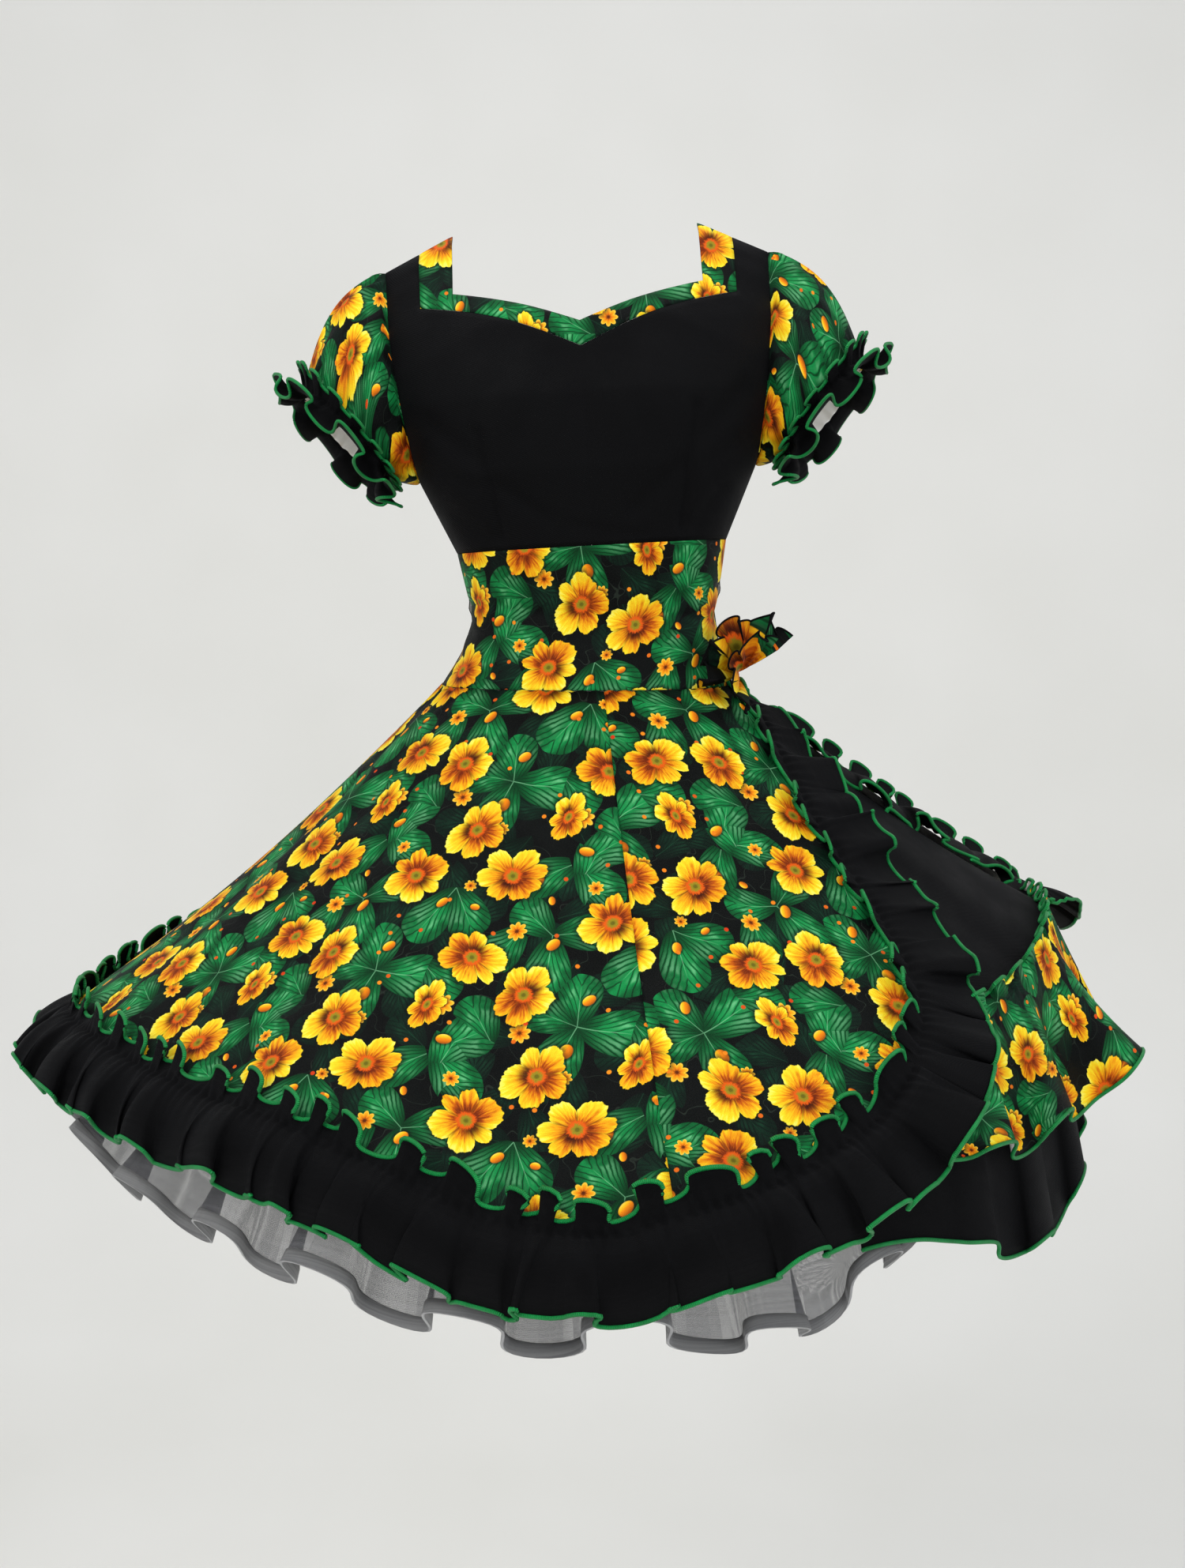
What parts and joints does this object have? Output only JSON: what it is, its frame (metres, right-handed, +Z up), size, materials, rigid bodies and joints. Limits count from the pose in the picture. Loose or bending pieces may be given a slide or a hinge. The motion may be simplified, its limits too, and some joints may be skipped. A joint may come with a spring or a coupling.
{
  "type": "cueca dress",
  "caption": "Short-sleeved folk dance dress, filled out as worn: fitted bodice, circle skirt with a ruffled side opening, flounces and a net petticoat.",
  "frame": {"origin": "midway between the shoulder seams, where the wearer holds the dress up", "axes": "+Z up along the dress, -Y out of its front, +X to the viewer's right, which is the wearer's left"},
  "size_m": [1.2765, 1.316, 1.0724],
  "materials": {
    "print": "matte printed cloth, yellow flowers and green leaves on near-black",
    "black_cloth": "matte black cloth, faint sheen, green rolled edges on the ruffles",
    "net": "pale stiff net with a satin bound edge"
  },
  "bodies": {
    "root": {"neck_band_front": "print", "neck_band_back": "print", "bodice_front": "black_cloth", "bodice_back_left": "black_cloth", "bodice_back_right": "black_cloth", "midriff_front": "print", "midriff_back": "print", "sleeve_left": "print", "sleeve_right": "print", "cuff_ruffle_left": "black_cloth", "cuff_ruffle_right": "black_cloth", "skirt_front_left": "print", "skirt_front_right": "print", "skirt_back_left": "print", "skirt_back_right": "print", "hem_ruffle_front": "black_cloth", "hem_ruffle_back": "black_cloth", "side_ruffle_front": "black_cloth", "side_ruffle_back": "black_cloth", "underskirt": "black_cloth", "printed_flounce": "print", "black_flounce": "black_cloth", "petticoat_cone": "net", "petticoat_frill": "net", "bow_back_fan": "print", "bow_front_fan": "print", "bow_knot": "print"}
  },
  "joints": []
}
